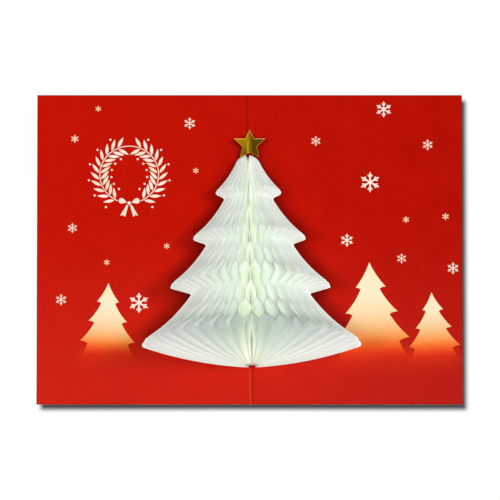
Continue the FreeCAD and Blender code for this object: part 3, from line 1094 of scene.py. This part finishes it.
def tissueFinish():
    material, graph, surface = newFinish("tissuePaper")
    spot, x, y, z = graph.place()
    rise = y - treeFoot
    high = z.ramp(*tissue["high"])
    across = graph.attribute("across")
    middle = (tissue["leaves"] - 1) / 2
    aside = abs(graph.attribute("leaf") - middle)
    fibre = graph.noise(graph.stretched(spot, tissue["grain"]), *tissue["grainNoise"])
    cells = rise.ramp(*tissue["cells"])
    fromLeft = tissue["leftLeast"] + x.ramp(*tissue["leftToRight"]) * (1 - tissue["leftLeast"])

    onCard = across.ramp(*tissue["rimBand"]) * (aside > middle - 0.5)
    tips = across.ramp(*tissue["tipBand"]) * rise.ramp(*tissue["hollowShadeTips"])
    # painted shade in the hollow cells of the row above the foot
    hollowShade = rise.bell(*tissue["hollowShadeRow"]) * high * (1 - tips)
    # painted shade along the cells' edges, weaker near the foot and left of the fold
    fromFoot = tissue["edgeLeast"] + rise.ramp(*tissue["edgeRise"]) * (1 - tissue["edgeLeast"])
    shaded = across.ramp(*tissue["edgeBand"]) * high * fromFoot * fromLeft
    plain = graph.mixColour(across ** tissue["toneRun"], tissue["innerTone"], tissue["outerTone"])
    paperWithPaintedLight = graph.layered(plain, (
        (x.bell(0.0, tissue["warmHalf"]) * tissue["warmShare"], tissue["warmTone"]),
        (onCard, tissue["rimHighlightTone"]),
        (hollowShade * tissue["hollowShadeShare"], tissue["hollowShadeTone"]),
        ((fibre - tissue["grainFrom"]).most(0.0) * tissue["grainShare"], tissue["grainTone"]),
        (shaded, tissue["edgeShadeTone"])))

    # painted light: an emission glow stands in for light that comes through the leaves and bounces in
    # the cells
    above = rise.ramp(*tissue["glowRise"])
    atFold, toRim = tissue["evenGlow"]
    onLow, nearFoot = tissue["fanGlow"]
    foldLess, shadeLess = tissue["cellLess"]
    fan = (1 - high) * onLow + (1 - rise.ramp(*tissue["fanRise"])) * nearFoot
    even = (atFold + across * toRim) * above + (1 - above) * fan
    inside = high.least(tissue["cellMost"]) - x.bell(0.0, tissue["cellFold"]) * high * foldLess
    inside = inside * (1 - shaded * shadeLess) * cells * fromLeft
    slit = x.bell(0.0, tissue["slitHalf"])
    edge = across.ramp(*tissue["litRim"]) * aside.ramp(*tissue["litLeaves"])
    evenShare, insideShare, slitShare, edgeShare = tissue["glowShares"]
    glow = even * evenShare + inside * insideShare + slit * slitShare + edge * edgeShare
    colour = graph.mixColour(slit.most(1 - cells), tissue["glowTone"], tissue["creamTone"])

    bump = graph.bump(fibre, *tissue["relief"])
    dress(graph, surface, {
        "Base Color": paperWithPaintedLight, "Roughness": tissue["roughness"], "Specular IOR Level": tissue["gloss"],
        "Normal": bump, "Emission Color": graph.mixColour(glow, black, colour),
        "Emission Strength": tissue["glow"]})
    through = graph.node("ShaderNodeBsdfTranslucent", None, {
        "Color": tissue["throughTone"], "Normal": bump})
    mixShaders(graph, "Material Output", tissue["throughShare"], surface, through)
    return material


def addTissue():
    piece = growLeaves(tissueFinish())
    addCore(piece)
    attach(piece, "root")
    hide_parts("honeycomb_tree")


# the foil star
star = {  # folded to a shallow valley, its side tips raised
    "waist": 0.47,
    "thickness": 0.3 * mm,
    "above": 0.01 * mm,  # the fold over the card
    "foldHalf": 0.2 * mm,  # the flat bottom of the fold
    "rim": 0.3 * mm,
    "rimDrop": 0.45,  # how far the rim is pressed down, over its width
    "flatFacing": 0.9,  # faces that look up more than this are its flat top
    "cutFacing": 0.5,  # under this they are a cut edge
    "roughness": 0.6,
    "roughnessStreak": 0.1,
    "relief": (0.35, 0.12 * mm),
    "reliefStreak": 0.4,
    "streak": (1.0, 0.12, 1.0),
    "streakNoise": (1400.0, 3.0),
    "dentScale": 500.0,
    # painted light: the left half is lit, lighter towards its top, and the right half is shaded
    "litLeftLow": paint(94, 74, 4),
    "litLeftHigh": paint(142, 116, 10),
    "litLeftRise": (1 * mm, -4 * mm),  # from the star's low end, and from its high one
    "right": paint(76, 62, 4),
    "middle": paint(122, 90, 14),
    "middleLine": (0.3 * mm, 0.8 * mm),  # place and width
    # painted highlight along the crease left of the fold
    "crease": paint(206, 150, 44),
    "creaseHighlightLine": (-1.0 * mm, 0.22 * mm),
    "creaseHighlightEnd": (62.5 * mm, 63.2 * mm),
    "worn": paint(66, 48, 4),
    "wornBand": (0.35, 0.8),
    "wornShare": 0.4,
    # painted highlight on cut edges, lit on the left and shaded on the right; a dull edge elsewhere
    "rimHighlightLeft": paint(255, 204, 104),
    "rimHighlightRight": paint(255, 196, 140),
    "rimDull": paint(186, 104, 24),
    "rimWornBand": (0.4, 0.8),
    "rimWornShare": 0.3,
    "highlightFacing": (0.1, 0.35),  # painted highlight by how far a cut edge looks towards the card's top: dull, and bright
}


def starCorners():
    half = (starHigh[0] - starLow[0]) / 2
    height = starHigh[1] - starLow[1]
    feet = math.sin(math.radians(54))
    corners = []
    for step in range(10):
        angle = math.radians(90 + 36 * step)
        ring = star["waist"] if step % 2 else 1.0
        corners.append(Vector((half * ring * math.cos(angle) / math.cos(math.radians(18)),
                               starLow[1] + height * (ring * math.sin(angle) + feet) / (1 + feet))))
    return corners


def starShape():
    base = cardTop + star["above"]
    thick, foldHalf = star["thickness"], star["foldHalf"]
    slope = (starHigh[2] - thick - base) / ((starHigh[0] - starLow[0]) / 2)
    shape = bmesh.new()
    blank = shape.faces.new([shape.verts.new((corner.x, corner.y, 0.0)) for corner in starCorners()])
    blank.normal_update()
    if blank.normal.z < 0:
        blank.normal_flip()
    extruded = bmesh.ops.extrude_face_region(shape, geom=[blank])
    for item in extruded["geom"]:
        if isinstance(item, bmesh.types.BMVert):
            item.co.z = thick
    bmesh.ops.recalc_face_normals(shape, faces=shape.faces)
    cap = [face for face in shape.faces if face.normal.z > star["flatFacing"]]
    bmesh.ops.inset_region(shape, faces=cap, thickness=star["rim"], use_even_offset=True)
    for offset in (-foldHalf, 0.0, foldHalf):
        bmesh.ops.bisect_plane(shape, geom=shape.verts[:] + shape.edges[:] + shape.faces[:],
                               plane_co=(offset, 0, 0), plane_no=(1, 0, 0), dist=1e-9)
    inner = set()
    for face in shape.faces:
        face.normal_update()
        onTop = all(abs(vertex.co.z - thick) < 1e-7 for vertex in face.verts)
        if onTop and face.normal.z > star["flatFacing"]:
            inner.add(face)
    border = {edge for face in inner for edge in face.edges if not set(edge.link_faces) <= inner}
    edgeBand = {face for face in inner if not border.isdisjoint(face.edges)}
    outer = {vertex for edge in border for vertex in edge.verts}
    for face in shape.faces:
        face.material_index = 1 if face in edgeBand or abs(face.normal.z) < star["cutFacing"] else 0
    for vertex in shape.verts:
        spread = abs(vertex.co.x)
        if vertex.co.z > thick / 2:
            spread = max(spread, foldHalf)
        lowered = star["rim"] * star["rimDrop"] if vertex in outer else 0.0
        vertex.co.z += base + spread * slope - lowered
    return meshFrom("foilStar", shape)


def foilTone(graph, x, y, side, streak):
    # painted light: lit left half, shaded right half, a middle tone and a painted highlight along the
    # fold; worn streaks
    fromLow, fromHigh = star["litLeftRise"]
    up = y.ramp(starLow[1] + fromLow, starHigh[1] + fromHigh)
    return graph.layered(graph.mixColour(up, star["litLeftLow"], star["litLeftHigh"]), (
        (side, star["right"]),
        (x.bell(*star["middleLine"]), star["middle"]),
        (x.bell(*star["creaseHighlightLine"]) * (1 - y.ramp(*star["creaseHighlightEnd"])), star["crease"]),
        (streak.ramp(*star["wornBand"]) * star["wornShare"], star["worn"])))


def foilEdgeTone(graph, side, streak):
    _, facing, _ = graph.apart(graph.node("ShaderNodeNewGeometry", output="Normal"))
    # painted highlight where a cut edge faces the card's top
    lit = graph.mixColour(side, star["rimHighlightLeft"], star["rimHighlightRight"])
    return graph.layered(star["rimDull"], (
        (facing.ramp(*star["highlightFacing"]), lit),
        (streak.ramp(*star["rimWornBand"]) * star["rimWornShare"], star["rimDull"])))


def foilFinish(name, cut):
    material, graph, surface = newFinish(name)
    spot, x, y, _ = graph.place()
    streak = graph.noise(graph.stretched(spot, star["streak"]), *star["streakNoise"])
    dent = graph.noise(spot, star["dentScale"])
    side = x.ramp(-star["foldHalf"], star["foldHalf"])
    tone = foilEdgeTone(graph, side, streak) if cut else foilTone(graph, x, y, side, streak)
    dress(graph, surface, {
        "Base Color": tone, "Metallic": 1.0,
        "Roughness": star["roughness"] + streak * star["roughnessStreak"],
        "Normal": graph.bump(dent + streak * star["reliefStreak"], *star["relief"])})
    return material


def addStar():
    piece = newPiece("foilStar", starShape(),
                     [foilFinish("goldFoil", False), foilFinish("foilEdge", True)])
    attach(piece, "root")
    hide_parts("star")


addCamera()
addLight()
addFloor()
print("studio ready")
addCard()
print("card sheet ready")
addFirs()
addFlakes()
addWreath()
print("print ready")
addTissue()
print("tissue tree ready")
addStar()
print("star ready")
